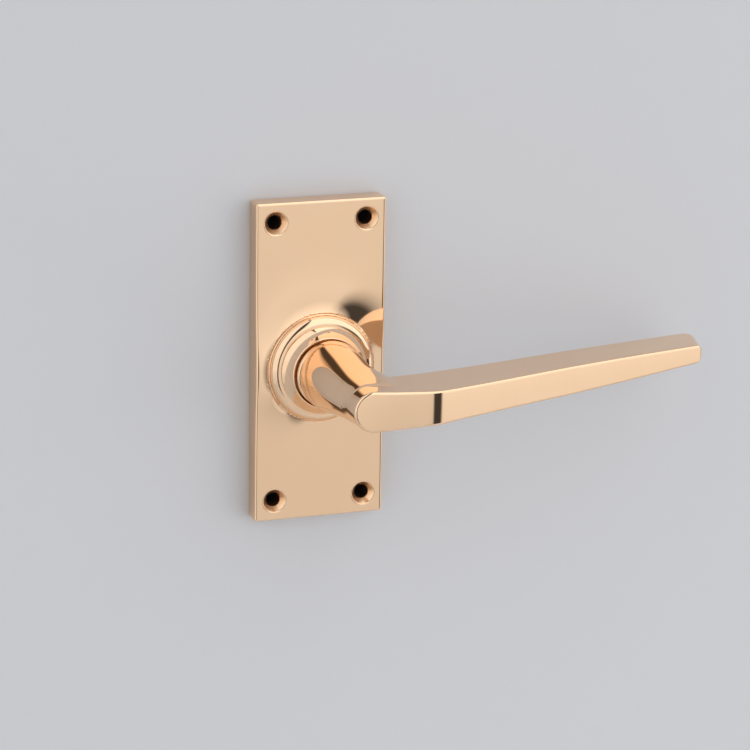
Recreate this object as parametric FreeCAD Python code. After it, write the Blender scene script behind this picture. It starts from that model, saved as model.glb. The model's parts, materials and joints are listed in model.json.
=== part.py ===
"""Straight lever handle on a short rectangular backplate, in polished brass.

Frame, millimetres: the origin is on the spindle axis, in the plane of the door face.
+X points along the lever, +Y goes into the door and +Z is up.
"""
import FreeCAD, Part
import math
import os

from FreeCAD import Vector

os.makedirs("parts", exist_ok=True)

# Backplate
PLATE_HEIGHT = 114.0
PLATE_WIDTH = 47.0
PLATE_THICK = 7.6
PLATE_RISE = 2.3                # plate centre above the spindle axis
PLATE_CORNER_R = 0.7
PLATE_EDGE_R = 0.6
RIM_WIDTH = 3.2                 # solid rim around the hollow back
HOLLOW_DEPTH = 3.2
HOLLOW_CORNER_R = 3.0

# Four countersunk fixing holes
HOLE_SPACING_X = 32.7
HOLE_SPACING_Z = 99.5
HOLE_R = 2.5
COUNTERSINK_R = 4.15
COUNTERSINK_DEPTH = 2.1
SCREW_BOSS_R = 5.6

# Round boss on the front of the plate, and the collar that stands on it
BOSS_R = 19.0
BEAD_TOP_R = 16.6
BEAD_HEIGHT = 4.4
COLLAR_FOOT_R = 16.2
COLLAR_TOP_R = 13.0
BOSS_HEIGHT = 9.3               # bead and collar together

# Bearing, spring pocket and stop recess inside the boss
JOURNAL_R = 9.0
BEARING_GAP = 0.05
BUSH_R = 10.4
POCKET_R = 14.0
POCKET_Y = -11.0
RECESS_R = 17.2
RECESS_Y = -6.2
FACE_GAP = 0.1                  # axial play between turning and fixed faces
KEY_GAP = 0.03                  # fit of the driver and the clip on the journal

# Lever: neck, flat front facet and tapering arm
SHOULDER_Y = -18.2
NECK_RING_R = 12.4
HUB_HALF_HEIGHT = 7.1
FACET_Y = -66.65                # facet plane on the spindle axis
FACET_SLOPE = -0.075
CREASE_X = 20.4
CREASE_HALF_HEIGHT = 6.1
CREASE_R = 9.0
MID_X = 76.0
MID_HALF_HEIGHT = 5.15
TIP_X = 142.0
TIP_HALF_HEIGHT = 3.1
FRONT_TIP = (135.2, -29.0)
BACK_TIP = (141.0, -10.3)
BACK_MID = (72.0, -31.2)
BACK_ROOT = (5.0, -48.7)
FRONT_TIP_R = 2.6
BACK_TIP_R = 5.5
ARM_ROOT_Y = -52.0              # back of the arm inside the neck

# Neck sections: Y, left reach, right reach, half height, squareness of the right half
NECK_SECTIONS = (
    (-18.2, 11.4, 12.2, 12.3, 2.0),
    (-22.5, 11.1, 12.1, 12.0, 2.0),
    (-27.5, 10.6, 12.0, 11.4, 2.0),
    (-32.5, 9.8, 11.9, 10.6, 2.0),
    (-37.5, 9.0, 12.1, 9.7, 2.05),
    (-42.0, 8.35, 12.9, 8.95, 2.15),
    (-46.0, 7.9, 15.0, 8.4, 2.3),
    (-50.0, 7.6, 17.0, 7.95, 2.5),
    (-54.5, 7.35, 18.0, 7.45, 2.5),
    (-59.5, 7.1, 18.5, 6.7, 2.5),
)
NECK_POINTS = 24

# Square spindle and its set screw
SPINDLE_SIDE = 8.0
SOCKET_SIDE = 8.2
SPINDLE_FRONT_Y = -33.0
SPINDLE_BACK_Y = 62.0
SPINDLE_CHAMFER = 0.8
SOCKET_FRONT_Y = -34.0
SET_SCREW_Y = -26.0
SET_SCREW_R = 2.5
SET_SCREW_LENGTH = 6.0
SET_SCREW_KEY = 2.5             # across the flats of its hexagon socket

# Tail of the journal, driver and stops
TAIL_FLAT = 7.3                 # half the distance across the two flats
TAIL_FLAT_Y = -5.75
TAIL_END_Y = -0.1
DRIVER_FRONT_Y = -5.6
DRIVER_BACK_Y = -3.7
DRIVER_R = 13.7
LUG_R = 16.8
LUG_HALF_ANGLE = 14.0
LUG_REST_ANGLE = 117.5
LEVER_TRAVEL = 55.0
STOP_PIN_R = 1.2
STOP_PIN_RADIUS = 15.6
STOP_CLEARANCE = 0.4            # degrees
STOP_PIN_FRONT_Y = -9.2
STOP_PIN_BACK_Y = -3.5

# Torsion return spring
WIRE_R = 0.7
COIL_R = 11.9
COIL_FRONT_Y = -10.2
COIL_PITCH = 1.5
COIL_TURNS = 2.25
COIL_START_ANGLE = 200.0
TANG_HOLE_R = 0.85
TANG_FRONT_Y = -13.8
TANG_BACK_Y = -3.9
GUIDE_R = 10.2

# Cover and its fastenings
COVER_SIDE = 36.4
COVER_CORNER_R = 5.0
COVER_THICK = 1.2
COVER_BORE_R = 9.3
COVER_SCREW_OFFSET = 14.6
COVER_SCREW_R = 1.4
COVER_SCREW_TIP_Y = -6.4
COVER_HOLE_R = 1.7
SCREW_HEAD_R = 2.7
SCREW_HEAD_HEIGHT = 1.6
LINER_R = 13.0
LINER_THICK = 0.45
SPRING_WASHER_R = 12.4
SPRING_WASHER_THICK = 0.3
SPRING_WASHER_BEND = 230.0      # radius that the washer is bent to
CLIP_THICK = 1.0
CLIP_BACK_Y = -0.3
GROOVE_R = 8.3
CLIP_OUTER_R = 10.7
CLIP_HALF_GAP = 22.0
CLIP_LUG_R = 1.7
CLIP_EYE_R = 0.75

PLATE_FRONT_Y = -PLATE_THICK
HOLLOW_Y = -HOLLOW_DEPTH
BEAD_TOP_Y = PLATE_FRONT_Y - BEAD_HEIGHT
BOSS_TOP_Y = PLATE_FRONT_Y - BOSS_HEIGHT
COVER_BACK_Y = HOLLOW_Y + COVER_THICK
Y_AXIS = Vector(0, 1, 0)
ORIGIN = Vector(0, 0, 0)


def rod(radius, y0, y1, x=0.0, z=0.0):
    """Solid cylinder along Y from y0 to y1."""
    return Part.makeCylinder(radius, y1 - y0, Vector(x, y0, z), Y_AXIS)


def ring(outer, inner, y0, y1):
    """Flat ring around the spindle axis."""
    return rod(outer, y0, y1).cut(rod(inner, y0 - 1, y1 + 1))


def block(width, height, y0, y1, x=0.0, z=0.0):
    """Box centred on x, z and running from y0 to y1."""
    corner = Vector(x - width / 2, y0, z - height / 2)
    return Part.makeBox(width, y1 - y0, height, corner)


def rounded_block(width, height, radius, y0, y1, z=0.0):
    """Box with its four edges along Y rounded."""
    body = block(width, height, y0, y1, 0.0, z)
    return body.makeFillet(radius, edges_along_y(body))


def edges_along_y(body):
    """Straight edges of a body that run along Y."""
    found = []
    for edge in body.Edges:
        ends = [vertex.Point for vertex in edge.Vertexes]
        if len(ends) == 2 and (ends[0] - ends[1]).cross(Y_AXIS).Length < 1e-6:
            found.append(edge)
    return found


def polar(radius, degrees):
    """X and Z of a point at a radius and angle around the spindle axis."""
    angle = math.radians(degrees)
    return radius * math.cos(angle), radius * math.sin(angle)


def revolved(profile):
    """Solid of revolution around the spindle axis from an r, y outline."""
    return Part.Face(Part.Wire(profile)).revolve(ORIGIN, Y_AXIS, 360)


def line(a, b):
    return Part.LineSegment(a, b).toShape()


def corner_positions(spacing_x, spacing_z, centre_z=0.0):
    """The four corners of a rectangle in the plane of the plate."""
    return [(sx * spacing_x / 2, centre_z + sz * spacing_z / 2)
            for sx in (-1, 1) for sz in (-1, 1)]


def fixing_positions():
    return corner_positions(HOLE_SPACING_X, HOLE_SPACING_Z, PLATE_RISE)


def cover_screw_positions():
    spacing = 2 * COVER_SCREW_OFFSET
    return corner_positions(spacing, spacing)


def boss_bead():
    """Convex bead that rises from the plate, flat on top where the collar stands."""
    base_y = PLATE_FRONT_Y + 1.0
    foot = Vector(BOSS_R, base_y, 0)
    base = Vector(BOSS_R, PLATE_FRONT_Y - 0.5, 0)
    middle = Vector(BOSS_R - 0.55, PLATE_FRONT_Y - 0.62 * BEAD_HEIGHT, 0)
    top = Vector(BEAD_TOP_R, BEAD_TOP_Y, 0)
    edges = [
        line(Vector(0, base_y, 0), foot),
        line(foot, base),
        Part.Arc(base, middle, top).toShape(),
        line(top, Vector(0, BEAD_TOP_Y, 0)),
        line(Vector(0, BEAD_TOP_Y, 0), Vector(0, base_y, 0)),
    ]
    return revolved(edges)


def boss_collar():
    """Turned collar: a cove from its foot up to a rounded rim, on a spigot."""
    foot = Vector(COLLAR_FOOT_R, BEAD_TOP_Y, 0)
    step = Vector(COLLAR_FOOT_R, BEAD_TOP_Y - 0.3, 0)
    cove_middle = Vector(COLLAR_TOP_R + 0.95, BEAD_TOP_Y - 2.4, 0)
    cove_top = Vector(COLLAR_TOP_R, BOSS_TOP_Y + 0.8, 0)
    rim_middle = Vector(COLLAR_TOP_R - 0.15, BOSS_TOP_Y + 0.15, 0)
    rim = Vector(COLLAR_TOP_R - 0.5, BOSS_TOP_Y, 0)
    edges = [
        line(Vector(0, BEAD_TOP_Y, 0), foot),
        line(foot, step),
        Part.Arc(step, cove_middle, cove_top).toShape(),
        Part.Arc(cove_top, rim_middle, rim).toShape(),
        line(rim, Vector(0, BOSS_TOP_Y, 0)),
        line(Vector(0, BOSS_TOP_Y, 0), Vector(0, BEAD_TOP_Y, 0)),
    ]
    body = revolved(edges).fuse(rod(POCKET_R, BEAD_TOP_Y - 0.5, POCKET_Y))
    body = body.cut(rod(BUSH_R, BOSS_TOP_Y - 1, 1))
    x, z = polar(COIL_R, COIL_START_ANGLE)
    return body.cut(rod(TANG_HOLE_R, TANG_FRONT_Y - 0.2, 1, x, z)).removeSplitter()


def plate_blank():
    """Plate with a rounded front edge and a hollow back."""
    blank = rounded_block(PLATE_WIDTH, PLATE_HEIGHT, PLATE_CORNER_R, PLATE_FRONT_Y, 0, PLATE_RISE)
    front = [edge for edge in blank.Edges if edge.BoundBox.YMax < PLATE_FRONT_Y + 1e-6]
    blank = blank.makeFillet(PLATE_EDGE_R, front)
    hollow = rounded_block(PLATE_WIDTH - 2 * RIM_WIDTH, PLATE_HEIGHT - 2 * RIM_WIDTH,
                           HOLLOW_CORNER_R, HOLLOW_Y, 1, PLATE_RISE)
    for x, z in fixing_positions():
        hollow = hollow.cut(rod(SCREW_BOSS_R, HOLLOW_Y - 1, 2, x, z))
    return blank.cut(hollow)


def fixing_hole(x, z):
    """Through hole with a countersink in the front face."""
    cone = Part.makeCone(COUNTERSINK_R + 0.5, HOLE_R - 0.15, COUNTERSINK_DEPTH + 0.65,
                         Vector(x, PLATE_FRONT_Y - 0.5, z), Y_AXIS)
    return rod(HOLE_R, PLATE_FRONT_Y - 1, 1, x, z).fuse(cone)


def stop_angles():
    """Angles of the two stop pins, clear of the driver's lug by a small gap."""
    pin_half = math.degrees(math.asin(STOP_PIN_R / STOP_PIN_RADIUS))
    reach = LUG_HALF_ANGLE + pin_half + STOP_CLEARANCE
    return LUG_REST_ANGLE + reach, LUG_REST_ANGLE - LEVER_TRAVEL - reach


def backplate():
    body = plate_blank().fuse(boss_bead())
    body = body.cut(rod(POCKET_R, BEAD_TOP_Y - 1, 1))
    body = body.cut(rod(RECESS_R, RECESS_Y, 1))
    for x, z in fixing_positions():
        body = body.cut(fixing_hole(x, z))
    for x, z in cover_screw_positions():
        body = body.cut(rod(COVER_SCREW_R, COVER_SCREW_TIP_Y, 1, x, z))
    for angle in stop_angles():
        x, z = polar(STOP_PIN_RADIUS, angle)
        body = body.cut(rod(STOP_PIN_R, STOP_PIN_FRONT_Y, 1, x, z))
    return body.removeSplitter()


def bearing_bush():
    return ring(BUSH_R, JOURNAL_R + BEARING_GAP, BOSS_TOP_Y, POCKET_Y)


def neck_ring():
    """Thin bead that seats the neck on the rim of the boss."""
    body = ring(NECK_RING_R, JOURNAL_R, SHOULDER_Y, BOSS_TOP_Y - FACE_GAP)
    outer = [edge for edge in body.Edges
             if edge.Closed and abs(edge.BoundBox.XMax - NECK_RING_R) < 1e-3]
    return body.makeFillet(0.3, outer)


def neck_section(y, left, right, half_height, squareness):
    """Closed smooth section: half an ellipse on the left, a fuller curve on the right."""
    points = []
    for i in range(NECK_POINTS):
        angle = 2 * math.pi * i / NECK_POINTS
        across, up = math.cos(angle), math.sin(angle)
        power = 2 / squareness if across > 0 else 1.0
        reach = right if across > 0 else left
        x = reach * math.copysign(abs(across) ** power, across)
        z = half_height * math.copysign(abs(up) ** power, up)
        points.append(Vector(x, y, z))
    curve = Part.BSplineCurve()
    curve.interpolate(Points=points, PeriodicFlag=True)
    return Part.Wire(curve.toShape())


def neck():
    return Part.makeLoft([neck_section(*section) for section in NECK_SECTIONS], True, False)


def rounded_corner(before, corner, after, radius):
    """Arc of a radius that rounds the corner between two straight runs."""
    to_before = (before - corner).normalize()
    to_after = (after - corner).normalize()
    half = to_before.getAngle(to_after) / 2
    setback = radius / math.tan(half)
    centre = corner + (to_before + to_after).normalize() * (radius / math.sin(half))
    middle = centre + (corner - centre).normalize() * radius
    return corner + to_before * setback, middle, corner + to_after * setback


def arm_plan():
    """Outline of the arm seen from above."""
    left = -HUB_HALF_HEIGHT - 0.5
    facet_left = Vector(left, FACET_Y + FACET_SLOPE * left, 0)
    crease = Vector(CREASE_X, FACET_Y + FACET_SLOPE * CREASE_X, 0)
    front_tip = Vector(*FRONT_TIP, 0)
    back_tip = Vector(*BACK_TIP, 0)
    back_mid = Vector(*BACK_MID, 0)
    back_root = Vector(*BACK_ROOT, 0)
    inner_right = Vector(BACK_ROOT[0], ARM_ROOT_Y, 0)
    inner_left = Vector(left, ARM_ROOT_Y, 0)
    bend = rounded_corner(facet_left, crease, front_tip, CREASE_R)
    front_round = rounded_corner(crease, front_tip, back_tip, FRONT_TIP_R)
    back_round = rounded_corner(front_tip, back_tip, back_mid, BACK_TIP_R)
    edges = [
        line(facet_left, bend[0]),
        Part.Arc(*bend).toShape(),
        line(bend[2], front_round[0]),
        Part.Arc(*front_round).toShape(),
        line(front_round[2], back_round[0]),
        Part.Arc(*back_round).toShape(),
        Part.Arc(back_round[2], back_mid, back_root).toShape(),
        line(back_root, inner_right),
        line(inner_right, inner_left),
        line(inner_left, facet_left),
    ]
    outline = Part.Face(Part.Wire(edges))
    outline.translate(Vector(0, 0, -10))
    return outline.extrude(Vector(0, 0, 20))


def arm_elevation():
    """Outline of the arm seen from the front, half round at the hub."""
    top = [Vector(0, 0, HUB_HALF_HEIGHT), Vector(CREASE_X, 0, CREASE_HALF_HEIGHT),
           Vector(MID_X, 0, MID_HALF_HEIGHT), Vector(TIP_X, 0, TIP_HALF_HEIGHT)]
    low = [Vector(p.x, 0, -p.z) for p in top]
    edges = [
        line(top[0], top[1]),
        Part.Arc(top[1], top[2], top[3]).toShape(),
        line(top[3], low[3]),
        Part.Arc(low[3], low[2], low[1]).toShape(),
        line(low[1], low[0]),
        Part.Arc(low[0], Vector(-HUB_HALF_HEIGHT, 0, 0), top[0]).toShape(),
    ]
    outline = Part.Face(Part.Wire(edges))
    outline.translate(Vector(0, -80, 0))
    return outline.extrude(Vector(0, 80, 0))


def arm():
    return arm_plan().common(arm_elevation()).removeSplitter()


def set_screw_hole():
    depth = 14.0
    return Part.makeCylinder(SET_SCREW_R, depth, Vector(0, SET_SCREW_Y, -depth), Vector(0, 0, 1))


def lever_handle():
    """One casting: journal, neck and arm, with the spindle socket."""
    body = arm().fuse(neck()).fuse(rod(JOURNAL_R, SHOULDER_Y - 1, TAIL_END_Y))
    flat_width = JOURNAL_R - TAIL_FLAT + 1
    for side in (-1, 1):
        middle = side * (TAIL_FLAT + flat_width / 2)
        body = body.cut(block(30, flat_width, TAIL_FLAT_Y, 1, 0, middle))
    groove_front = CLIP_BACK_Y - CLIP_THICK - 0.05
    body = body.cut(ring(JOURNAL_R + 1, GROOVE_R, groove_front, CLIP_BACK_Y + 0.05))
    body = body.cut(block(SOCKET_SIDE, SOCKET_SIDE, SOCKET_FRONT_Y, 1))
    return body.cut(set_screw_hole()).removeSplitter()


def spindle():
    bar = block(SPINDLE_SIDE, SPINDLE_SIDE, SPINDLE_FRONT_Y, SPINDLE_BACK_Y)
    ends = [edge for edge in bar.Edges if edge.BoundBox.YLength < 1e-6]
    return bar.makeChamfer(SPINDLE_CHAMFER, ends)


def set_screw():
    """Headless screw that clamps the spindle from below."""
    top_z = -SPINDLE_SIDE / 2
    base = Vector(0, SET_SCREW_Y, top_z - SET_SCREW_LENGTH)
    up = Vector(0, 0, 1)
    body = Part.makeCylinder(SET_SCREW_R, SET_SCREW_LENGTH - 0.6, base, up)
    point = Part.makeCone(SET_SCREW_R, SET_SCREW_R - 0.6, 0.6,
                          base + up * (SET_SCREW_LENGTH - 0.6), up)
    corner_r = SET_SCREW_KEY / math.sqrt(3)
    corners = []
    for i in range(7):
        x, y = polar(corner_r, 60 * i)
        corners.append(base + Vector(x, y, 0))
    key = Part.Face(Part.makePolygon(corners)).extrude(up * 2.4)
    return body.fuse(point).cut(key).removeSplitter()


def spring_guide():
    """Plastic sleeve on the journal that the coil closes round."""
    return ring(GUIDE_R, JOURNAL_R, POCKET_Y + 0.35, DRIVER_FRONT_Y - 0.05)


def return_spring():
    """Torsion spring with a tang at each end, parallel to the spindle."""
    height = COIL_PITCH * COIL_TURNS
    helix = Part.makeHelix(COIL_PITCH, height, COIL_R)
    section = Part.Wire(Part.makeCircle(WIRE_R, Vector(COIL_R, 0, 0), Y_AXIS))
    coil = Part.Wire(helix.Edges).makePipeShell([section], True, True)
    coil.rotate(ORIGIN, Vector(1, 0, 0), -90)
    coil.rotate(ORIGIN, Y_AXIS, -COIL_START_ANGLE)
    coil.translate(Vector(0, COIL_FRONT_Y, 0))
    back_y = COIL_FRONT_Y + height
    front = spring_tang(COIL_START_ANGLE, COIL_FRONT_Y, TANG_FRONT_Y, COIL_FRONT_Y)
    back = spring_tang(tang_angle(), back_y, back_y, TANG_BACK_Y)
    return coil.fuse([front, back])


def tang_angle():
    """Angle of the tang that the driver carries."""
    return COIL_START_ANGLE - 360 * COIL_TURNS


def spring_tang(angle, elbow_y, y0, y1):
    """Straight end of the wire, with a round elbow where it leaves the coil."""
    x, z = polar(COIL_R, angle)
    elbow = Part.makeSphere(WIRE_R, Vector(x, elbow_y, z))
    return rod(WIRE_R, y0, y1, x, z).fuse(elbow)


def wedge(centre_angle, half_angle, y0, y1):
    """Prism that covers a sector around the spindle axis."""
    reach = 2 * BOSS_R
    corners = [Vector(0, y0, 0)]
    for angle in (centre_angle - half_angle, centre_angle + half_angle):
        x, z = polar(reach, angle)
        corners.append(Vector(x, y0, z))
    corners.append(corners[0])
    return Part.Face(Part.makePolygon(corners)).extrude(Vector(0, y1 - y0, 0))


def spring_driver():
    """Stamped disc keyed to the journal, with a stop lug and a hole for the tang."""
    lug = wedge(LUG_REST_ANGLE, LUG_HALF_ANGLE, DRIVER_FRONT_Y, DRIVER_BACK_Y)
    lug = lug.common(rod(LUG_R, DRIVER_FRONT_Y, DRIVER_BACK_Y))
    body = rod(DRIVER_R, DRIVER_FRONT_Y, DRIVER_BACK_Y).fuse(lug)
    keyed = rod(JOURNAL_R + KEY_GAP, DRIVER_FRONT_Y - 1, 0)
    keyed = keyed.common(block(30, 2 * (TAIL_FLAT + KEY_GAP), DRIVER_FRONT_Y - 1, 0))
    x, z = polar(COIL_R, tang_angle())
    body = body.cut(keyed).cut(rod(TANG_HOLE_R, DRIVER_FRONT_Y - 1, 0, x, z))
    return body.removeSplitter()


def stop_pins():
    pins = []
    for angle in stop_angles():
        x, z = polar(STOP_PIN_RADIUS, angle)
        pin = rod(STOP_PIN_R, STOP_PIN_FRONT_Y, STOP_PIN_BACK_Y, x, z)
        end = [edge for edge in pin.Edges if edge.BoundBox.YMin > STOP_PIN_BACK_Y - 1e-6]
        pins.append(pin.makeChamfer(0.25, end))
    return Part.makeCompound(pins)


def liner_washer():
    return ring(LINER_R, COVER_BORE_R, HOLLOW_Y - LINER_THICK, HOLLOW_Y)


def cover_plate():
    """Pressed plate that closes the spring pocket."""
    body = rounded_block(COVER_SIDE, COVER_SIDE, COVER_CORNER_R, HOLLOW_Y, COVER_BACK_Y)
    body = body.cut(rod(COVER_BORE_R, HOLLOW_Y - 1, 1))
    for x, z in cover_screw_positions():
        body = body.cut(rod(COVER_HOLE_R, HOLLOW_Y - 1, 1, x, z))
    return body


def cover_screw(x, z):
    """Pan-head screw with a cross recess."""
    head = rod(SCREW_HEAD_R, COVER_BACK_Y, COVER_BACK_Y + SCREW_HEAD_HEIGHT, x, z)
    rim = [edge for edge in head.Edges
           if edge.Closed and edge.BoundBox.YMin > COVER_BACK_Y + SCREW_HEAD_HEIGHT - 1e-6]
    head = head.makeFillet(0.6, rim)
    recess_y = COVER_BACK_Y + SCREW_HEAD_HEIGHT - 0.9
    for width, height in ((2.8, 0.6), (0.6, 2.8)):
        head = head.cut(block(width, height, recess_y, 1, x, z))
    return head.fuse(rod(COVER_SCREW_R, COVER_SCREW_TIP_Y, COVER_BACK_Y, x, z)).removeSplitter()


def cover_screws():
    return Part.makeCompound([cover_screw(x, z) for x, z in cover_screw_positions()])


def spring_washer():
    """Thin washer bent about a line across the lever."""
    sag = SPRING_WASHER_BEND - math.sqrt(SPRING_WASHER_BEND ** 2 - SPRING_WASHER_R ** 2)
    axis_y = COVER_BACK_Y + 0.05 + sag - SPRING_WASHER_BEND
    width = 4 * SPRING_WASHER_R
    start = Vector(-width / 2, axis_y, 0)
    along_x = Vector(1, 0, 0)
    outer = Part.makeCylinder(SPRING_WASHER_BEND + SPRING_WASHER_THICK, width, start, along_x)
    inner = Part.makeCylinder(SPRING_WASHER_BEND, width, start, along_x)
    return outer.cut(inner).common(ring(SPRING_WASHER_R, COVER_BORE_R, COVER_BACK_Y, 0))


def retaining_clip():
    """Open spring clip in the groove of the journal, with two eyes."""
    front_y = CLIP_BACK_Y - CLIP_THICK
    body = ring(CLIP_OUTER_R, GROOVE_R + KEY_GAP, front_y, CLIP_BACK_Y)
    body = body.cut(wedge(-90, CLIP_HALF_GAP, front_y - 1, 1))
    for side in (-1, 1):
        x, z = polar(CLIP_OUTER_R - 0.2, -90 + side * (CLIP_HALF_GAP + 7))
        eye = rod(CLIP_LUG_R, front_y, CLIP_BACK_Y, x, z)
        body = body.fuse(eye.cut(rod(GROOVE_R + KEY_GAP, front_y - 1, 1)))
        body = body.cut(rod(CLIP_EYE_R, front_y - 1, 1, x, z))
    return body.removeSplitter()


def main():
    pieces = (
        backplate, boss_collar, bearing_bush, neck_ring, lever_handle, spindle, set_screw,
        spring_guide, return_spring, spring_driver, stop_pins, liner_washer, cover_plate,
        cover_screws, spring_washer, retaining_clip,
    )
    for piece in pieces:
        shape = piece()
        shape.exportStep(os.path.join("parts", piece.__name__ + ".step"))


main()
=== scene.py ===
"""Looks for a polished brass lever handle on its backplate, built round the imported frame."""
import json
import math

import bmesh
import bpy
import numpy as np
from mathutils import Matrix, Vector


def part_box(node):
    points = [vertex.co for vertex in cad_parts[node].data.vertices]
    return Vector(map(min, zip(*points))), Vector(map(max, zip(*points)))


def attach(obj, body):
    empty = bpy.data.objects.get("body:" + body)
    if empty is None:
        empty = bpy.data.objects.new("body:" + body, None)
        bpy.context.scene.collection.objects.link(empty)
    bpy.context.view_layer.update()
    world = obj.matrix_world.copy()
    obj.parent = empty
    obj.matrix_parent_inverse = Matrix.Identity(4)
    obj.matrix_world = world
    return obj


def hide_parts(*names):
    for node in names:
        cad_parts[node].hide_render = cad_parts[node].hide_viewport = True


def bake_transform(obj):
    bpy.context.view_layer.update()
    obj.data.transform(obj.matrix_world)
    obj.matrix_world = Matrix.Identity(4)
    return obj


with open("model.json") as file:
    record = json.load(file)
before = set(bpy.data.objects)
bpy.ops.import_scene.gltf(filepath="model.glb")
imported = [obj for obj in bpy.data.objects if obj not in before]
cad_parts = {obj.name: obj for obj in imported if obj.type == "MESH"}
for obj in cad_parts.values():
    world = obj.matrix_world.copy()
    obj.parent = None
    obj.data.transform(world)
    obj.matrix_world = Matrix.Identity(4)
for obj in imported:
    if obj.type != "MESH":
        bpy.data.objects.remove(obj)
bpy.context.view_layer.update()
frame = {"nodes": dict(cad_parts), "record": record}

MM = 0.001

# Lever, millimetres. The spindle runs along Y and the arm along X
SHOULDER_Y = -18.2
NECK_END_Y = -59.2
JOURNAL_R = 9.0
TAIL_FLAT = 7.3
TAIL_FLAT_Y = -5.75
TAIL_END_Y = -0.1
CLIP_GROOVE_R = 8.3
CLIP_GROOVE_Y = (-1.35, -0.25)
SOCKET_HALF = 4.1
SOCKET_FRONT_Y = -34.0
SET_SCREW_R = 2.5
SET_SCREW_Y = -26.0
FACET_Y = -66.65
FACET_SLOPE = -0.075
CREASE_X = 20.4
CREASE_SOFTNESS = 0.8
FACET_CROWN = 0.003               # gentle bulge of the facet along the lever
FACET_CROWN_X = 6.0
FACET_CROWN_END = 28.0
FRONT_CROWN = 0.002               # and of the whole front from top to bottom
FRONT_TIP = (135.5, -28.9)
BACK_TIP = (140.7, -10.3)
BACK_MID = (72.0, -31.2)
BACK_ROOT = (5.0, -48.7)
FRONT_TIP_R = 0.9
TIP_CORNER_R = 2.2
BACK_TIP_R = 4.5
TIP_CROWN = 0.3
ARM_FRONT_EDGE_R = 0.9
ARM_BACK_EDGE_R = 0.9
BACK_STRAIGHT = 8                 # length of the straight stretch behind the tip
NECK_SOFTNESS = 0.35
NECK_EDGE_R = 0.5
JOURNAL_OVERLAP = 3
JOURNAL_EDGE_R = 0.3
FLAT_EDGE_R = 0.15
SOCKET_EDGE_R = 0.25
SET_SCREW_EDGE_R = 0.3
FINE_EDGE_R = 0.1
HUB_R = 7.1
ARM_STATIONS = (0.0, 20.4, 76.0, 142.0)
ARM_HALF_HEIGHTS = (7.1, 6.1, 5.15, 3.1)
NECK_Y = (-18.2, -27.5, -37.5, -46.0, -54.5, -61.0)
NECK_LEFT = (10.9, 10.0, 8.9, 7.9, 7.0, 6.3)
NECK_RIGHT = (12.2, 12.0, 12.2, 14.0, 13.8, 12.4)
NECK_HALF_HEIGHT = (12.3, 11.4, 9.7, 8.5, 7.85, 7.3)
NECK_SQUARENESS = (2.0, 2.0, 2.1, 2.6, 3.1, 3.2)
NECK_END_R = 1.6

# Backplate
PLATE_HALF = (23.5, 57.0)
PLATE_RISE = 2.3
PLATE_FRONT_Y = -7.6
PLATE_CORNER_R = 0.7
PLATE_EDGE_R = 0.9
PLATE_BACK_EDGE_R = 0.2
SWELL_RISE = 1.7                  # assumed swell of the plate towards the boss
SWELL_REACH = 5.8
SWELL_START = 0.6                 # how it grows from the lower right to the upper left
SWELL_SPAN = 1.1
RIM_WIDTH = 3.2
HOLLOW_Y = -3.2
HOLLOW_CORNER_R = 3.0
HOLE_SPACING = (32.7, 99.5)
HOLE_R = 2.5
COUNTERSINK_R = 4.15
COUNTERSINK_DEPTH = 2.1
COUNTERSINK_EDGE_R = 0.22
SCREW_BOSS_R = 5.6
BOSS_R = 19.0
BEAD_TOP_R = 15.9
BEAD_TOP_Y = -12.0
BEAD_STRAIGHT = 0.5
BEAD_MIDDLE = (0.55, 0.62)        # inwards from its foot, and as a share of its height
BEAD_EDGE_R = 0.4
BEAD_SOFTNESS = 0.3
BOSS_TOP_Y = -16.9
COLLAR_FOOT_R = 15.5
COLLAR_TOP_R = 13.0
COLLAR_STEP = 0.3
COLLAR_LIP = 0.8
COLLAR_EDGE_R = 0.55
COVE_MIDDLE = (0.95, 2.4)         # outwards from the top of the collar, and up from the bead
SPIGOT_OVERLAP = 1
DISH_R = 12.6                     # conical recess round the neck
DISH_SLOPE = 1.25
DISH_EDGE_R = 0.2
GROOVE_GAP = 0.25                 # fine groove round the foot of the boss
GROOVE_SIZE = 0.42
GROOVE_EDGE_R = 0.12
BUSH_R = 10.4
BORE_EDGE_R = 0.15
NECK_RING_R = 11.2
NECK_RING_EDGE_R = 0.5
NECK_RING_BORE_EDGE_R = 0.1
NECK_RING_GAP = 0.1
POCKET_Y = -11.0
POCKET_R = 14.0
RECESS_R = 17.2
RECESS_Y = -6.2
COVER_SCREW_OFFSET = 14.6
COVER_SCREW_R = 1.4
COVER_SCREW_TIP_Y = -6.4

# Return spring
WIRE_R = 0.7
COIL_R = 11.9
COIL_FRONT_Y = -10.2
COIL_PITCH = 1.5
COIL_TURNS = 2.25
COIL_START_ANGLE = 200.0
COIL_STEPS = 48                   # points in each turn
TANG_STEPS = 6
TANG_HOLE_R = 0.85
TANG_HOLE_DEPTH = 0.2             # room beyond the end of the tang
TANG_FRONT_Y = -13.8
TANG_BACK_Y = -3.9

# Fineness of the meshes
LEVER_VOXEL = 0.5
PLATE_VOXEL = 0.5
COLLAR_VOXEL = 0.4
DETAIL_REACH = 1.2                # finer mesh this far from a seam or an edge
BUSH_MARGIN = 0.5
SPACING_ROUNDS = 3                # last rounds, which leave the spacing alone
EVENING = 0.5
LEAST_SLOPE = 0.05
LONGEST_MOVE = 0.4

# View of the camera: focal length, direction, roll and what it looks at
CAMERA_LENS = 152.8
CAMERA_SENSOR = 36.0
CAMERA_CLIP = (0.05, 20.0)
CAMERA_AZIMUTH = -19.4
CAMERA_ELEVATION = 15.77
CAMERA_ROLL = 0.88
CAMERA_TARGET = (22.895, 0.0, -6.78)
CAMERA_DISTANCE = 1122.8

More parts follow.
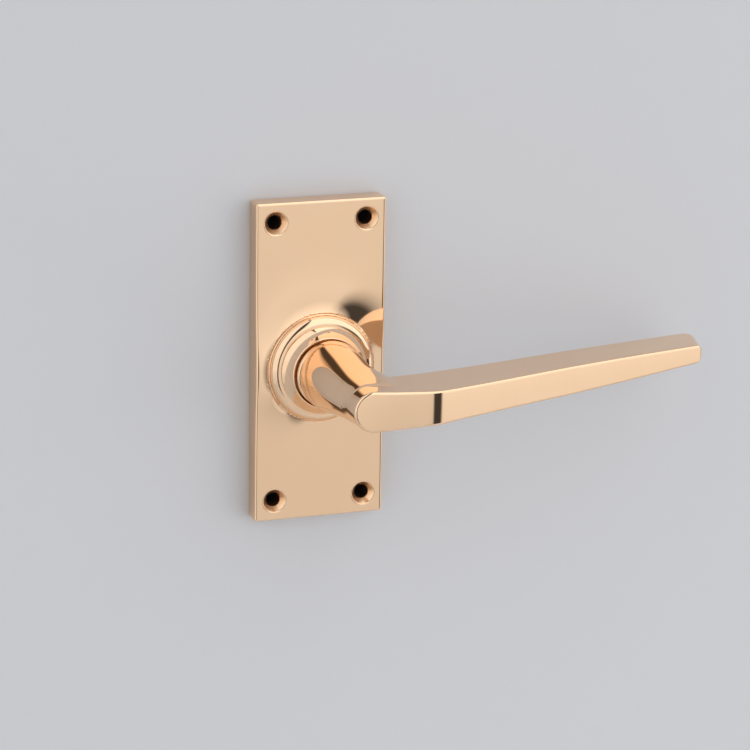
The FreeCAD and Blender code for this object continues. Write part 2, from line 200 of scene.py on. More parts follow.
# Grey of the sky by bearing in degrees, 0 straight out from the door and 90 along the lever
SKY_AROUND = ((-180, 0.9), (-36, 1.0), (-28, 0.15), (-12, 0.15), (-4, 0.95), (12, 0.82), (21, 0.84),
              (26, 0.06), (43, 0.06), (49, 1.0), (90, 1.1), (180, 0.9))
SKY_ABOVE = ((-180, 1.0), (-38, 1.1), (-28, 0.08), (-12, 0.08), (-4, 1.25), (20, 1.3), (90, 1.3), (180, 1.0))
# where the upper lights take over, by height from straight down at -1 to straight up at 1
ABOVE_SHARE = ((-1, 0.0), (-0.02, 0.0), (0.25, 1.0), (1, 1.0))
# and the brightness by height
SKY_HEIGHTS = ((-1, 0.28), (-0.75, 0.35), (-0.5, 0.8), (-0.36, 0.88), (-0.27, 0.95), (-0.17, 1.1),
               (0.1, 1.05), (1, 1.1))
BACKDROP = (0.6, 0.6, 0.61, 1)
KEY_POWER = 24.0
KEY_PLACE = (1.9, -1.7, -0.5)
KEY_TARGET = (0.03, 0, 0)
KEY_SIZE = 2.4
WALL_COLOUR = (0.575, 0.58, 0.605)
WALL_HALF = 3.0
WALL_INSET = 0.0004               # of its opening, inside the rear rim of the plate
WALL_GAP = 0.0002
FLOOR_HALF = 1.7
FLOOR_LEVEL = -1.1
PALE_ROUGHNESS = 0.8
# size of the near-black discs of painted shade behind the screw holes, in place of the dark inside of the
# pilot holes
PILOT_SHADE_R = 2.9
PILOT_SHADE_SIDES = 24
SATIN = 0.22                      # added roughness inside the countersinks


# ---------------------------------------------------------------- fields
def smooth_curve(x, knots, values):
    """Natural cubic spline through the knots, held level past both ends."""
    order = np.argsort(knots)
    knots, values = np.asarray(knots, float)[order], np.asarray(values, float)[order]
    step, rise = np.diff(knots), np.diff(values)
    count = len(knots)
    matrix, right = np.eye(count), np.zeros(count)
    for i in range(1, count - 1):
        matrix[i, i - 1:i + 2] = step[i - 1], 2 * (step[i - 1] + step[i]), step[i]
        right[i] = 6 * (rise[i] / step[i] - rise[i - 1] / step[i - 1])
    bend = np.linalg.solve(matrix, right)
    x = np.clip(x, knots[0], knots[-1])
    i = np.clip(np.searchsorted(knots, x) - 1, 0, count - 2)
    h, a, b = step[i], knots[i + 1] - x, x - knots[i]
    cubic = (bend[i] * a ** 3 + bend[i + 1] * b ** 3) / (6 * h)
    return cubic + (values[i] / h - bend[i] * h / 6) * a + (values[i + 1] / h - bend[i + 1] * h / 6) * b


def both(a, b, radius):
    """Distance to the part common to two bodies, with their shared edge rounded."""
    u, v = np.maximum(a + radius, 0), np.maximum(b + radius, 0)
    return np.minimum(np.maximum(a, b), -radius) + np.hypot(u, v)


def without(a, b, radius):
    return both(a, -b, radius)


def either(a, b, softness):
    """Distance to two bodies together, with a soft fillet where they meet."""
    h = np.maximum(softness - np.abs(a - b), 0) / softness
    return np.minimum(a, b) - h * h * softness / 4


def line_distance(x, y, start, end):
    """Distance to the right of the line from start to end, in plan."""
    dx, dy = end[0] - start[0], end[1] - start[1]
    return ((x - start[0]) * dy - (y - start[1]) * dx) / math.hypot(dx, dy)


def slab(value, low, high):
    return np.maximum(low - value, value - high)


def arm_field(p):
    x, y, z = p.T
    half_height = smooth_curve(x, ARM_STATIONS, ARM_HALF_HEIGHTS)
    crease = (CREASE_X, FACET_Y + FACET_SLOPE * CREASE_X)
    bulge = FACET_CROWN * (np.minimum(x, FACET_CROWN_END) - FACET_CROWN_X) ** 2
    facet = (FACET_Y + FACET_SLOPE * x + bulge - y) / math.hypot(1, FACET_SLOPE)
    front = line_distance(x, y, crease, FRONT_TIP)
    front = -either(-facet, -front, CREASE_SOFTNESS) + FRONT_CROWN * z ** 2
    crown = TIP_CROWN * np.clip(np.abs(z) / half_height, 0, 1) ** 2
    tip = line_distance(x, y, FRONT_TIP, BACK_TIP) + crown - TIP_CROWN / 2
    knots = (BACK_ROOT[0], BACK_MID[0], BACK_TIP[0] - BACK_STRAIGHT)
    run = (BACK_TIP[1] - BACK_MID[1]) / (BACK_TIP[0] - BACK_MID[0])
    heights = (BACK_ROOT[1], BACK_MID[1], BACK_MID[1] + run * (knots[2] - BACK_MID[0]))
    bend = np.polyfit(knots, heights, 2)
    back = (y - np.polyval(bend, x)) / np.hypot(1, np.polyval(np.polyder(bend), x))
    plan = both(both(front, tip, FRONT_TIP_R), back, BACK_TIP_R)
    depth = np.clip(front / (front + back - 1e-9), 0, 1)
    edge = ARM_FRONT_EDGE_R + (ARM_BACK_EDGE_R - ARM_FRONT_EDGE_R) * depth ** 2
    sides = np.where(x > 0, np.abs(z) - half_height, np.hypot(x, z) - HUB_R)
    return np.maximum(both(plan, sides, edge), both(tip, sides, TIP_CORNER_R))


def neck_field(p):
    x, y, z = p.T
    left, right, height, power = (smooth_curve(y, NECK_Y, v)
                                  for v in (NECK_LEFT, NECK_RIGHT, NECK_HALF_HEIGHT, NECK_SQUARENESS))
    reach = np.where(x > 0, right, left)
    power = np.where(x > 0, power, 2.0)
    radius = np.maximum(np.hypot(x, z), 1e-6)
    across, up = np.abs(x) / radius / reach, np.abs(z) / radius / height
    rim = (across ** power + up ** power) ** (-1 / power)
    return both(both(radius - rim, NECK_END_Y - y, NECK_END_R), y - SHOULDER_Y, NECK_EDGE_R)


def journal_field(p):
    x, y, z = p.T
    radius = np.hypot(x, z)
    rod = both(radius - JOURNAL_R, slab(y, SHOULDER_Y - JOURNAL_OVERLAP, TAIL_END_Y), JOURNAL_EDGE_R)
    flat = np.maximum(TAIL_FLAT - np.abs(z), TAIL_FLAT_Y - y)
    rod = without(rod, flat, FLAT_EDGE_R)
    groove = np.maximum(CLIP_GROOVE_R - radius, slab(y, *CLIP_GROOVE_Y))
    return without(rod, groove, FINE_EDGE_R)


def lever_field(p):
    x, y, z = p.T
    body = either(arm_field(p), neck_field(p), NECK_SOFTNESS)
    body = np.minimum(body, journal_field(p))
    socket = np.maximum(np.maximum(np.abs(x), np.abs(z)) - SOCKET_HALF, SOCKET_FRONT_Y - y)
    body = without(body, socket, SOCKET_EDGE_R)
    hole = np.maximum(np.hypot(x, y - SET_SCREW_Y) - SET_SCREW_R, z)
    return without(body, hole, SET_SCREW_EDGE_R)


def rounded_rectangle(x, z, half_x, half_z, radius):
    u, v = np.abs(x) - half_x + radius, np.abs(z) - half_z + radius
    return np.hypot(np.maximum(u, 0), np.maximum(v, 0)) + np.minimum(np.maximum(u, v), 0) - radius


def corners(x, z, spacing_x, spacing_z, centre_z):
    """Distance across the plate from the nearest of four corner positions."""
    return np.hypot(np.abs(x) - spacing_x / 2, np.abs(z - centre_z) - spacing_z / 2)


def arc_centre(a, b, c):
    """Centre and radius of the arc through three r, y points."""
    d = 2 * (a[0] * (b[1] - c[1]) + b[0] * (c[1] - a[1]) + c[0] * (a[1] - b[1]))
    squares = [q[0] ** 2 + q[1] ** 2 for q in (a, b, c)]
    r = (squares[0] * (b[1] - c[1]) + squares[1] * (c[1] - a[1]) + squares[2] * (a[1] - b[1])) / d
    y = (squares[0] * (c[0] - b[0]) + squares[1] * (a[0] - c[0]) + squares[2] * (b[0] - a[0])) / d
    return r, y, math.hypot(a[0] - r, a[1] - y)


def bead_field(radius, y):
    """Convex bead round the foot of the boss: an arc through its base, middle and top."""
    base = (BOSS_R, PLATE_FRONT_Y - BEAD_STRAIGHT)
    middle = (BOSS_R - BEAD_MIDDLE[0], PLATE_FRONT_Y + BEAD_MIDDLE[1] * (BEAD_TOP_Y - PLATE_FRONT_Y))
    r, level, size = arc_centre(base, middle, (BEAD_TOP_R, BEAD_TOP_Y))
    arc = np.where(radius > r, np.hypot(radius - r, y - level) - size, level - size - y)
    return both(np.where(y > base[1], radius - BOSS_R, arc), BEAD_TOP_Y - y, BEAD_EDGE_R)


def swell(x, z):
    """Rise of the plate round the boss, most above it and to its left."""
    radius = np.maximum(np.hypot(x, z), 1.0)
    side = np.clip(((z - x) / radius / math.sqrt(2) + SWELL_START) / SWELL_SPAN, 0, 1)
    side = side * side * (3 - 2 * side)
    return SWELL_RISE * side * np.exp(-np.maximum(radius - BOSS_R, 0) / SWELL_REACH)


def plate_start(p):
    """Carries the front face out to the swell before it is fitted."""
    x, y, z = p.T
    front = np.clip((PLATE_FRONT_Y + 1.0 - y), 0, 1) * (np.hypot(x, z) > BOSS_R)
    return p - np.stack([0 * x, front * swell(x, z), 0 * z], 1)


def plate_field(p):
    x, y, z = p.T
    radius = np.hypot(x, z)
    outline = rounded_rectangle(x, z - PLATE_RISE, *PLATE_HALF, PLATE_CORNER_R)
    body = both(outline, PLATE_FRONT_Y - swell(x, z) - y, PLATE_EDGE_R)
    body = both(body, y, PLATE_BACK_EDGE_R)
    inner = (PLATE_HALF[0] - RIM_WIDTH, PLATE_HALF[1] - RIM_WIDTH)
    hollow = np.maximum(rounded_rectangle(x, z - PLATE_RISE, *inner, HOLLOW_CORNER_R), HOLLOW_Y - y)
    fixing = corners(x, z, *HOLE_SPACING, PLATE_RISE)
    hollow = np.maximum(hollow, SCREW_BOSS_R - fixing)
    body = without(body, hollow, PLATE_BACK_EDGE_R)
    bead = both(bead_field(radius, y), y - HOLLOW_Y + BEAD_STRAIGHT, FINE_EDGE_R)
    body = either(body, bead, BEAD_SOFTNESS)
    groove = np.hypot(radius - BOSS_R - GROOVE_GAP, y - PLATE_FRONT_Y + swell(x, z)) - GROOVE_SIZE
    body = without(body, groove, GROOVE_EDGE_R)
    body = without(body, radius - POCKET_R, BORE_EDGE_R)
    body = without(body, np.maximum(radius - RECESS_R, RECESS_Y - y), BORE_EDGE_R)
    run = (COUNTERSINK_R - HOLE_R) / COUNTERSINK_DEPTH
    cone = (fixing - COUNTERSINK_R + run * (y - PLATE_FRONT_Y)) / math.hypot(1, run)
    body = without(body, np.minimum(fixing - HOLE_R, cone), COUNTERSINK_EDGE_R)
    screws = corners(x, z, 2 * COVER_SCREW_OFFSET, 2 * COVER_SCREW_OFFSET, 0.0) - COVER_SCREW_R
    return without(body, np.maximum(screws, COVER_SCREW_TIP_Y - y), FINE_EDGE_R)


def collar_field(p):
    """Cove from the foot of the collar up to its rounded rim, on a spigot in the plate."""
    x, y, z = p.T
    radius = np.hypot(x, z)
    step = (COLLAR_FOOT_R, BEAD_TOP_Y - COLLAR_STEP)
    middle = (COLLAR_TOP_R + COVE_MIDDLE[0], BEAD_TOP_Y - COVE_MIDDLE[1])
    r, level, size = arc_centre(step, middle, (COLLAR_TOP_R, BOSS_TOP_Y + COLLAR_LIP))
    cove = size - np.hypot(radius - r, y - level)
    outer = np.maximum(np.maximum(cove, radius - COLLAR_FOOT_R), y - BEAD_TOP_Y)
    outer = both(outer, BOSS_TOP_Y - y, COLLAR_EDGE_R)
    body = np.minimum(outer, np.maximum(radius - POCKET_R, slab(y, BEAD_TOP_Y - SPIGOT_OVERLAP, POCKET_Y)))
    dish = (radius - DISH_R + DISH_SLOPE * (y - BOSS_TOP_Y)) / math.hypot(1, DISH_SLOPE)
    body = without(body, dish, DISH_EDGE_R)
    body = without(body, radius - BUSH_R, BORE_EDGE_R)
    angle = math.radians(COIL_START_ANGLE)
    tang = np.hypot(x - COIL_R * math.cos(angle), z - COIL_R * math.sin(angle)) - TANG_HOLE_R
    return without(body, np.maximum(tang, TANG_FRONT_Y - TANG_HOLE_DEPTH - y), FINE_EDGE_R)


# ---------------------------------------------------------------- meshes
def slope_of(field, p, step=0.02):
    """Gradient of a field by central differences."""
    axes = np.eye(3) * step
    return np.stack([(field(p + a) - field(p - a)) / (2 * step) for a in axes], 1)


def neighbour_mean(p, edges, count):
    total = np.zeros_like(p)
    np.add.at(total, edges[:, 0], p[edges[:, 1]])
    np.add.at(total, edges[:, 1], p[edges[:, 0]])
    return total / count[:, None]


def shrink_to(field, p, edges, rounds=9):
    """Moves points onto the zero surface of a field and evens out their spacing."""
    count = np.maximum(np.bincount(edges.ravel(), minlength=len(p)), 1)
    for i in range(rounds):
        if i < rounds - SPACING_ROUNDS:
            slope = slope_of(field, p)
            normal = slope / np.maximum(np.linalg.norm(slope, axis=1), 1e-6)[:, None]
            shift = neighbour_mean(p, edges, count) - p
            shift -= (shift * normal).sum(1)[:, None] * normal
            p = p + EVENING * shift
        slope = slope_of(field, p)
        square = np.maximum((slope ** 2).sum(1), LEAST_SLOPE)
        move = (field(p) / square)[:, None] * slope
        length = np.maximum(np.linalg.norm(move, axis=1), 1e-9)[:, None]
        p = p - move * np.minimum(1, LONGEST_MOVE / length)
    return p


def refined(mesh, field, chosen):
    """Splits the faces round the chosen vertices and lays the new points on the field too."""
    work = bmesh.new()
    work.from_mesh(mesh)
    work.edges.ensure_lookup_table()
    split = [e for e in work.edges if chosen[e.verts[0].index] and chosen[e.verts[1].index]]
    bmesh.ops.subdivide_edges(work, edges=split, cuts=1, use_grid_fill=True)
    work.to_mesh(mesh)
    work.free()
    points, edges = np.zeros(len(mesh.vertices) * 3), np.zeros(len(mesh.edges) * 2, np.int32)
    mesh.vertices.foreach_get("co", points)
    mesh.edges.foreach_get("vertices", edges)
    points = shrink_to(field, points.reshape(-1, 3) / MM, edges.reshape(-1, 2), rounds=7)
    mesh.vertices.foreach_set("co", (points * MM).ravel())
    return points


def sculpted(name, node, field, detail, voxel, start=np.copy):
    """A fine skin over a CAD node, laid exactly on a field, with the field's own normals."""
    source = frame["nodes"][node].data.copy()
    rough = bpy.data.objects.new(name + "_rough", source)
    bpy.context.scene.collection.objects.link(rough)
    weld = rough.modifiers.new("weld", "WELD")
    weld.merge_threshold = 1e-6
    remesh = rough.modifiers.new("remesh", "REMESH")
    remesh.mode, remesh.voxel_size = "VOXEL", voxel * MM
    bpy.context.view_layer.update()
    evaluated = rough.evaluated_get(bpy.context.evaluated_depsgraph_get())
    mesh = bpy.data.meshes.new_from_object(evaluated)
    bpy.data.objects.remove(rough)
    points = np.zeros(len(mesh.vertices) * 3)
    mesh.vertices.foreach_get("co", points)
    edges = np.zeros(len(mesh.edges) * 2, np.int32)
    mesh.edges.foreach_get("vertices", edges)
    points = shrink_to(field, start(points.reshape(-1, 3) / MM), edges.reshape(-1, 2))
    mesh.vertices.foreach_set("co", (points * MM).ravel())
    points = refined(mesh, field, detail(points))
    mesh.shade_smooth()
    mesh.update()
    slope = slope_of(field, points)
    normals = slope / np.maximum(np.linalg.norm(slope, axis=1), 1e-6)[:, None]
    mesh.normals_split_custom_set_from_vertices(normals.tolist())
    mesh.materials.clear()
    return new_piece(name, mesh)


def new_piece(name, mesh):
    mesh.name = name
    piece = bpy.data.objects.new(name, mesh)
    bpy.context.scene.collection.objects.link(piece)
    return piece


def rounded_outline(outline, count=5):
    """Closed r, y outline whose corners r, y, radius are rounded by arcs."""
    points = []
    for i, (r, y, radius) in enumerate(outline):
        if radius == 0:
            points.append((r, y))
            continue
        before, after = outline[i - 1], outline[(i + 1) % len(outline)]
        corner = Vector((r, y))
        to_before = (Vector(before[:2]) - corner).normalized()
        to_after = (Vector(after[:2]) - corner).normalized()
        half = to_before.angle(to_after) / 2
        centre = corner + (to_before + to_after).normalized() * (radius / math.sin(half))
        first = corner + to_before * (radius / math.tan(half)) - centre
        last = corner + to_after * (radius / math.tan(half)) - centre
        for k in range(count + 1):
            spoke = first.slerp(last, k / count)
            points.append(tuple(centre + spoke))
    return points


def turned(name, outline, segments=128):
    """Ring turned round the spindle axis from a closed r, y outline."""
    vertices, faces = [], []
    count = len(outline)
    for i in range(segments):
        angle = 2 * math.pi * i / segments
        for r, y in outline:
            vertices.append((r * math.cos(angle) * MM, y * MM, r * math.sin(angle) * MM))
    for i in range(segments):
        for k in range(count):
            a, b = i * count + k, i * count + (k + 1) % count
            c = ((i + 1) % segments) * count + (k + 1) % count
            d = ((i + 1) % segments) * count + k
            faces.append((a, b, c, d))
    mesh = bpy.data.meshes.new(name)
    mesh.from_pydata(vertices, [], faces)
    return finished(name, mesh)


def finished(name, mesh, sharp=35.0):
    """Closed mesh with faces turned outwards and smooth shading broken at sharp edges."""
    work = bmesh.new()
    work.from_mesh(mesh)
    bmesh.ops.recalc_face_normals(work, faces=work.faces)
    for edge in work.edges:
        edge.smooth = len(edge.link_faces) == 2 and edge.calc_face_angle() < math.radians(sharp)
    for face in work.faces:
        face.smooth = True
    work.to_mesh(mesh)
    work.free()
    return new_piece(name, mesh)


def swept_wire(name, path, radius, sides=20):
    """Round wire along a path of points in millimetres, with domed ends."""
    path = np.array(path, float)
    tangent = np.gradient(path, axis=0)
    tangent /= np.linalg.norm(tangent, axis=1)[:, None]
    up = np.cross(tangent[0], (0.3, 0.5, 0.8))
    rings, frames = [], []
    for point, along in zip(path, tangent):
        up = up - along * (up @ along)
        up /= np.linalg.norm(up)
        frames.append((point, along, up, np.cross(along, up)))
    dome = np.linspace(0, math.pi / 2, 5)[1:]
    rings += [(frames[0], -radius * math.sin(a), radius * math.cos(a)) for a in dome[::-1][1:]]
    rings += [(f, 0.0, radius) for f in frames]
    rings += [(frames[-1], radius * math.sin(a), radius * math.cos(a)) for a in dome[:-1]]
    vertices, faces = [], []
    for (point, along, u, v), shift, size in rings:
        for k in range(sides):
            t = 2 * math.pi * k / sides
            vertices.append((point + along * shift + size * (u * math.cos(t) + v * math.sin(t))) * MM)
    for i in range(len(rings) - 1):
        for k in range(sides):
            j = (k + 1) % sides
            faces.append((i * sides + k, i * sides + j, (i + 1) * sides + j, (i + 1) * sides + k))
    faces.append(tuple(range(sides)))
    faces.append(tuple(range(len(vertices) - sides, len(vertices))))
    mesh = bpy.data.meshes.new(name)
    mesh.from_pydata([tuple(v) for v in vertices], [], faces)
    return finished(name, mesh, 60)


# ---------------------------------------------------------------- materials
def maths(nodes, links, operation, first, second):
    node = nodes.new("ShaderNodeMath")
    node.operation = operation
    for socket, value in zip(node.inputs, (first, second)):
        if isinstance(value, float):
            socket.default_value = value
        else:
            links.new(value, socket)
    return node.outputs["Value"]


def mixed(nodes, links, blend, share, first, second):
    node = nodes.new("ShaderNodeMix")
    node.data_type, node.blend_type = "RGBA", blend
    for socket, value in (("Factor", share), ("A", first), ("B", second)):
        if isinstance(value, (float, tuple)):
            node.inputs[socket].default_value = value
        else:
            links.new(value, node.inputs[socket])
    return node.outputs["Result"]


def mixed_metal(name, light, dark, roughness, grain, bump, scale, stretch=(1, 1, 1)):
    """Metal whose tint and polish drift slightly over the surface."""
    material = bpy.data.materials.new(name)
    material.use_nodes = True
    nodes, links = material.node_tree.nodes, material.node_tree.links
    shader = nodes["Principled BSDF"]
    shader.inputs["Metallic"].default_value = 1.0
    place = nodes.new("ShaderNodeTexCoord")
    mapping = nodes.new("ShaderNodeMapping")
    mapping.inputs["Scale"].default_value = stretch
    links.new(place.outputs["Object"], mapping.inputs["Vector"])
    cloud = nodes.new("ShaderNodeTexNoise")
    cloud.inputs["Scale"].default_value = scale
    cloud.inputs["Detail"].default_value = 4.0
    links.new(mapping.outputs["Vector"], cloud.inputs["Vector"])
    tint = nodes.new("ShaderNodeMix")
    tint.data_type = "RGBA"
    tint.inputs["A"].default_value = (*dark, 1)
    tint.inputs["B"].default_value = (*light, 1)
    links.new(cloud.outputs["Fac"], tint.inputs["Factor"])
    links.new(tint.outputs["Result"], shader.inputs["Base Color"])
    polish = nodes.new("ShaderNodeMapRange")
    polish.inputs["To Min"].default_value = roughness
    polish.inputs["To Max"].default_value = roughness + grain
    links.new(cloud.outputs["Fac"], polish.inputs["Value"])
    links.new(polish.outputs["Result"], shader.inputs["Roughness"])
    if bump:
        fine = nodes.new("ShaderNodeTexNoise")
        fine.inputs["Scale"].default_value = scale * 12
        links.new(mapping.outputs["Vector"], fine.inputs["Vector"])
        relief = nodes.new("ShaderNodeBump")
        relief.inputs["Strength"].default_value = bump
        relief.inputs["Distance"].default_value = 0.00005
        links.new(fine.outputs["Fac"], relief.inputs["Height"])
        links.new(relief.outputs["Normal"], shader.inputs["Normal"])
    return material


def nylon():
    material = mixed_metal("white_nylon", (0.86, 0.85, 0.80), (0.78, 0.77, 0.72), 0.42, 0.12, 0.2, 220)
    shader = material.node_tree.nodes["Principled BSDF"]
    shader.inputs["Metallic"].default_value = 0.0
    shader.inputs["Subsurface Weight"].default_value = 0.15
    shader.inputs["Subsurface Scale"].default_value = 0.001
    return material


def satin_countersinks(material):
    """Coarser finish left by the countersinking tool in the four screw holes."""
    nodes, links = material.node_tree.nodes, material.node_tree.links
    shader = nodes["Principled BSDF"]
    place = nodes.new("ShaderNodeTexCoord")
    split = nodes.new("ShaderNodeSeparateXYZ")
    links.new(place.outputs["Object"], split.inputs["Vector"])
    rise = maths(nodes, links, "SUBTRACT", split.outputs["Z"], PLATE_RISE * MM)
    offsets = []
    for value, spacing in ((split.outputs["X"], HOLE_SPACING[0]), (rise, HOLE_SPACING[1])):
        away = maths(nodes, links, "SUBTRACT", maths(nodes, links, "ABSOLUTE", value, 0.0), spacing / 2 * MM)
        offsets.append(maths(nodes, links, "MULTIPLY", away, away))
    square = maths(nodes, links, "ADD", *offsets)
    inside = maths(nodes, links, "LESS_THAN", square, (COUNTERSINK_R * MM) ** 2)
    polish = shader.inputs["Roughness"].links[0].from_socket
    links.new(maths(nodes, links, "ADD", polish, maths(nodes, links, "MULTIPLY", inside, SATIN)),
              shader.inputs["Roughness"])
    return material


def brass(name):
    return mixed_metal(name, (0.93, 0.66, 0.44), (0.90, 0.62, 0.40), 0.035, 0.03, 0.0, 60)


MATERIALS = {
    "polished_brass": brass("polished_brass"),
    "bush_bronze": mixed_metal("bush_bronze", (0.55, 0.33, 0.17), (0.42, 0.24, 0.11), 0.30, 0.2, 0.3, 180),
    "bright_steel": mixed_metal("bright_steel", (0.62, 0.62, 0.61), (0.50, 0.50, 0.50), 0.22, 0.15, 0.25, 90,
                                (1, 0.1, 1)),
    "black_steel": mixed_metal("black_steel", (0.05, 0.05, 0.055), (0.025, 0.025, 0.028),
                               0.38, 0.15, 0.3, 260),
    "spring_steel": mixed_metal("spring_steel", (0.36, 0.35, 0.34), (0.24, 0.235, 0.23),
                                0.25, 0.15, 0.25, 240),
    "plated_steel": mixed_metal("plated_steel", (0.72, 0.71, 0.66), (0.60, 0.60, 0.58),
                                0.26, 0.16, 0.25, 120),
    "white_nylon": nylon(),
}
PLATE_BRASS = satin_countersinks(brass("plate_brass"))


def paint(piece, slot):
    piece.data.materials.clear()
    piece.data.materials.append(MATERIALS[slot])


def place(piece, body, slot, *nodes):
    """Finish of a new piece, the body it moves with and the CAD nodes it stands for."""
    paint(piece, slot)
    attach(piece, body)
    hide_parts(*nodes)


def paint_carried_nodes():
    """Finish from the record for every CAD node that stays."""
    for row in frame["record"]["subparts"]:
        paint(frame["nodes"][row["node"]], row["material_slot"])


# ---------------------------------------------------------------- pieces
def lever_detail(p):
    """Seam of the neck and the arm."""
    return np.abs(arm_field(p) - neck_field(p)) < DETAIL_REACH


def plate_detail(p):
    """Screw holes and the foot of the boss."""
    x, y, z = p.T
    hole = corners(x, z, *HOLE_SPACING, PLATE_RISE) < COUNTERSINK_R + DETAIL_REACH
    foot = np.abs(np.hypot(x, z) - BOSS_R) < DETAIL_REACH
    return (hole | foot) & (y < HOLLOW_Y)


def collar_detail(p):
    x, y, z = p.T
    return (y < BEAD_TOP_Y) & (np.hypot(x, z) > BUSH_R + BUSH_MARGIN)


def lever():
    piece = sculpted("lever_casting", "lever_handle", lever_field, lever_detail, LEVER_VOXEL)
    place(piece, "lever", "polished_brass", "lever_handle")


def plate():
    piece = sculpted("plate_casting", "backplate", plate_field, plate_detail, PLATE_VOXEL, plate_start)
    place(piece, "plate", "polished_brass", "backplate")
    piece.data.materials[0] = PLATE_BRASS


def collar():
    piece = sculpted("turned_collar", "boss_collar", collar_field, collar_detail, COLLAR_VOXEL)
    place(piece, "plate", "polished_brass", "boss_collar")


def ring():
    top, foot = SHOULDER_Y, BOSS_TOP_Y - NECK_RING_GAP
    corners_of_section = [(NECK_RING_R, top, NECK_RING_EDGE_R), (NECK_RING_R, foot, NECK_RING_EDGE_R),
                          (JOURNAL_R, foot, NECK_RING_BORE_EDGE_R), (JOURNAL_R, top, NECK_RING_BORE_EDGE_R)]
    outline = rounded_outline(corners_of_section)
    place(turned("neck_bead", outline), "lever", "polished_brass", "neck_ring")


def spring():
    """Coil with a straight tang at each end."""
    steps = round(COIL_TURNS * COIL_STEPS)
    coil = []
    for i in range(steps + 1):
        angle = math.radians(COIL_START_ANGLE - 360 * COIL_TURNS * i / steps)
        y = COIL_FRONT_Y + COIL_PITCH * COIL_TURNS * i / steps
        coil.append((COIL_R * math.cos(angle), y, COIL_R * math.sin(angle)))
    front_heights = np.linspace(TANG_FRONT_Y, coil[0][1] - WIRE_R, TANG_STEPS)
    back_heights = np.linspace(coil[-1][1] + WIRE_R, TANG_BACK_Y, TANG_STEPS)
    front = [(coil[0][0], y, coil[0][2]) for y in front_heights]
    back = [(coil[-1][0], y, coil[-1][2]) for y in back_heights]
    piece = swept_wire("coiled_spring", front + coil[1:-1] + back, WIRE_R)
    paint(piece, "spring_steel")
    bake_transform(piece)
    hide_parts("return_spring")


# ---------------------------------------------------------------- stage
def plain_material(name, colour, roughness, specular=0.5):
    material = bpy.data.materials.new(name)
    material.use_nodes = True
    nodes, links = material.node_tree.nodes, material.node_tree.links
    shader = nodes["Principled BSDF"]
    shader.inputs["Roughness"].default_value = roughness
    shader.inputs["Base Color"].default_value = (*colour, 1)
    shader.inputs["Specular IOR Level"].default_value = specular
    return material, nodes, links, shader


def one_sided(material, nodes, links, shader):
    """Clear from behind, so that the wall does not hide the back of the plate."""
    facing = nodes.new("ShaderNodeNewGeometry")
    clear = nodes.new("ShaderNodeBsdfTransparent")
    mix = nodes.new("ShaderNodeMixShader")
    links.new(facing.outputs["Backfacing"], mix.inputs["Fac"])
    links.new(shader.outputs["BSDF"], mix.inputs[1])
    links.new(clear.outputs["BSDF"], mix.inputs[2])
    links.new(mix.outputs["Shader"], nodes["Material Output"].inputs["Surface"])
    return material


def wall():
    """Plane of the door face, with an opening hidden behind the plate and four near-black discs of painted
    shade behind the screw holes, standing in for the dark inside of the pilot holes.
    """
    low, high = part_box("backplate")
    left, right = low.x + WALL_INSET, high.x - WALL_INSET
    bottom, top = low.z + WALL_INSET, high.z - WALL_INSET
    size, y = WALL_HALF, high.y + WALL_GAP
    inner = [(left, bottom), (right, bottom), (right, top), (left, top)]
    outer = [(-size, -size), (size, -size), (size, size), (-size, size)]
    vertices = [(x, y, z) for x, z in inner + outer]
    faces = [(i, 4 + i, 4 + (i + 1) % 4, (i + 1) % 4) for i in range(4)]
    # near-black discs of painted shade behind the four screw holes
    for side_x in (-1, 1):
        for side_z in (-1, 1):
            centre = side_x * HOLE_SPACING[0] / 2, side_z * HOLE_SPACING[1] / 2 + PLATE_RISE
            faces.append(tuple(range(len(vertices), len(vertices) + PILOT_SHADE_SIDES)))
            for k in range(PILOT_SHADE_SIDES):
                angle = 2 * math.pi * k / PILOT_SHADE_SIDES
                vertices.append(((centre[0] + PILOT_SHADE_R * math.cos(angle)) * MM, y,
                                 (centre[1] + PILOT_SHADE_R * math.sin(angle)) * MM))
    mesh = bpy.data.meshes.new("door_face")
    mesh.from_pydata(vertices, [], faces)
    mesh.update()
    for polygon in mesh.polygons:
        if polygon.normal.y > 0:
            polygon.flip()
    piece = new_piece("door_face", mesh)
    mesh.materials.append(one_sided(*plain_material("pale_wall", WALL_COLOUR, PALE_ROUGHNESS)))
    # near-black, non-shiny material: painted shade for the inside of the pilot holes
    mesh.materials.append(one_sided(*plain_material("painted_shade_pilot_holes", (0.006, 0.006, 0.009), 1.0, 0.0)))
    for polygon in mesh.polygons[4:]:
        polygon.material_index = 1


def floor():
    mesh = bpy.data.meshes.new("floor")
    size, level = FLOOR_HALF, FLOOR_LEVEL
    mesh.from_pydata([(-size, -size, level), (size, -size, level), (size, size, level), (-size, size, level)],
                     [], [(0, 1, 2, 3)])
    mesh.materials.append(plain_material("pale_floor", (0.7, 0.7, 0.7), PALE_ROUGHNESS)[0])
    new_piece("floor", mesh)


def area_light(name, position, target, size, power):
    data = bpy.data.lights.new(name, "AREA")
    data.size, data.energy = size, power
    light = bpy.data.objects.new(name, data)
    bpy.context.scene.collection.objects.link(light)
    light.location = position
    light.rotation_euler = (Vector(target) - Vector(position)).to_track_quat("-Z", "Y").to_euler()
    return light


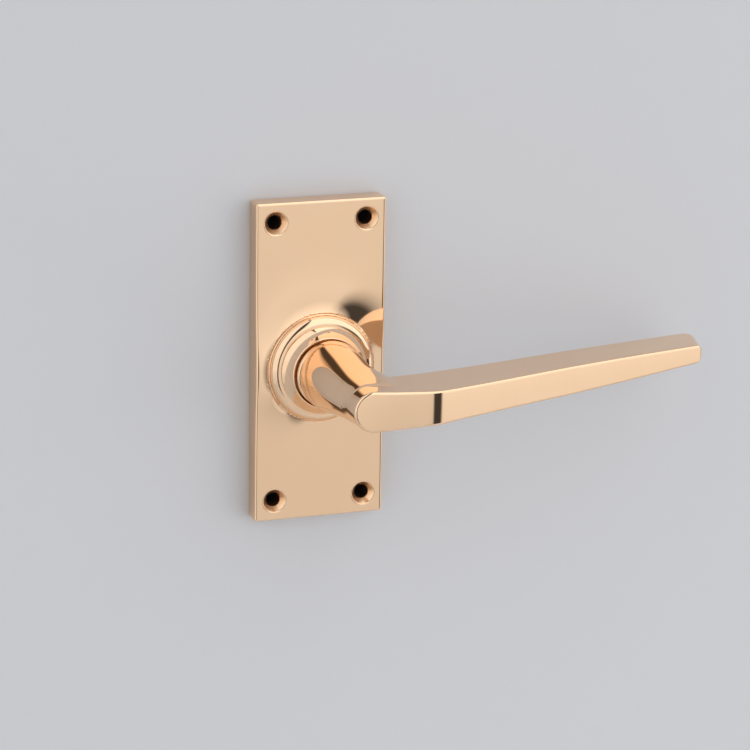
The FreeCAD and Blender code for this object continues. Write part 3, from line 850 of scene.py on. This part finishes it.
def sky(nodes, links):
    """Plain grey soft lights around and above, with gaps between them, set by direction only."""
    place = nodes.new("ShaderNodeTexCoord")
    split = nodes.new("ShaderNodeSeparateXYZ")
    links.new(place.outputs["Generated"], split.inputs["Vector"])
    forward = maths(nodes, links, "MULTIPLY", split.outputs["Y"], -1.0)
    bearing = maths(nodes, links, "ARCTAN2", split.outputs["X"], forward)
    around = nodes.new("ShaderNodeMapRange")
    around.inputs["From Min"].default_value = -math.pi
    around.inputs["From Max"].default_value = math.pi
    links.new(bearing, around.inputs["Value"])
    height = nodes.new("ShaderNodeMapRange")
    height.inputs["From Min"].default_value = -1.0
    links.new(split.outputs["Z"], height.inputs["Value"])
    level, above = (ramp_over(nodes, links, around, stops, 360) for stops in (SKY_AROUND, SKY_ABOVE))
    share, brightness = (ramp_over(nodes, links, height, stops, 2) for stops in (ABOVE_SHARE, SKY_HEIGHTS))
    tiers = mixed(nodes, links, "MIX", share, level, above)
    return mixed(nodes, links, "MULTIPLY", 1.0, tiers, brightness)


def ramp_over(nodes, links, source, stops, span):
    """Ramp over a span centred on zero; each stop is a place and a colour."""
    ramp = nodes.new("ShaderNodeValToRGB")
    elements = ramp.color_ramp.elements
    for i, (place, *colour) in enumerate(stops):
        stop = elements[i] if i < 2 else elements.new(1.0)
        stop.position = place / span + 0.5
        stop.color = (*(colour * 3)[:3], 1)
    links.new(source.outputs["Result"], ramp.inputs["Fac"])
    return ramp.outputs["Color"]


def studio():
    world = bpy.data.worlds.new("studio")
    bpy.context.scene.world = world
    world.use_nodes = True
    nodes, links = world.node_tree.nodes, world.node_tree.links
    ray = nodes.new("ShaderNodeLightPath")
    plain = mixed(nodes, links, "MIX", ray.outputs["Is Camera Ray"], sky(nodes, links), BACKDROP)
    links.new(plain, nodes["Background"].inputs["Color"])
    nodes["Background"].inputs["Strength"].default_value = 1.0
    key = area_light("key", KEY_PLACE, KEY_TARGET, KEY_SIZE, KEY_POWER)
    key.visible_glossy = False


def camera():
    a, e, roll = (math.radians(v) for v in (CAMERA_AZIMUTH, CAMERA_ELEVATION, CAMERA_ROLL))
    back = Vector((math.sin(a) * math.cos(e), -math.cos(a) * math.cos(e), math.sin(e)))
    right = Vector((math.cos(a), math.sin(a), 0))
    up = back.cross(right)
    across = right * math.cos(roll) + up * math.sin(roll)
    upward = up * math.cos(roll) - right * math.sin(roll)
    data = bpy.data.cameras.new("camera")
    data.lens, data.sensor_width = CAMERA_LENS, CAMERA_SENSOR
    data.clip_start, data.clip_end = CAMERA_CLIP
    piece = bpy.data.objects.new("camera", data)
    bpy.context.scene.collection.objects.link(piece)
    turn = Matrix((across, upward, back)).transposed().to_4x4()
    turn.translation = (Vector(CAMERA_TARGET) + back * CAMERA_DISTANCE) * MM
    piece.matrix_world = turn
    bpy.context.scene.camera = piece


bpy.context.scene.view_settings.view_transform = "Standard"
camera()
studio()
wall()
floor()
paint_carried_nodes()
lever()
plate()
collar()
ring()
spring()
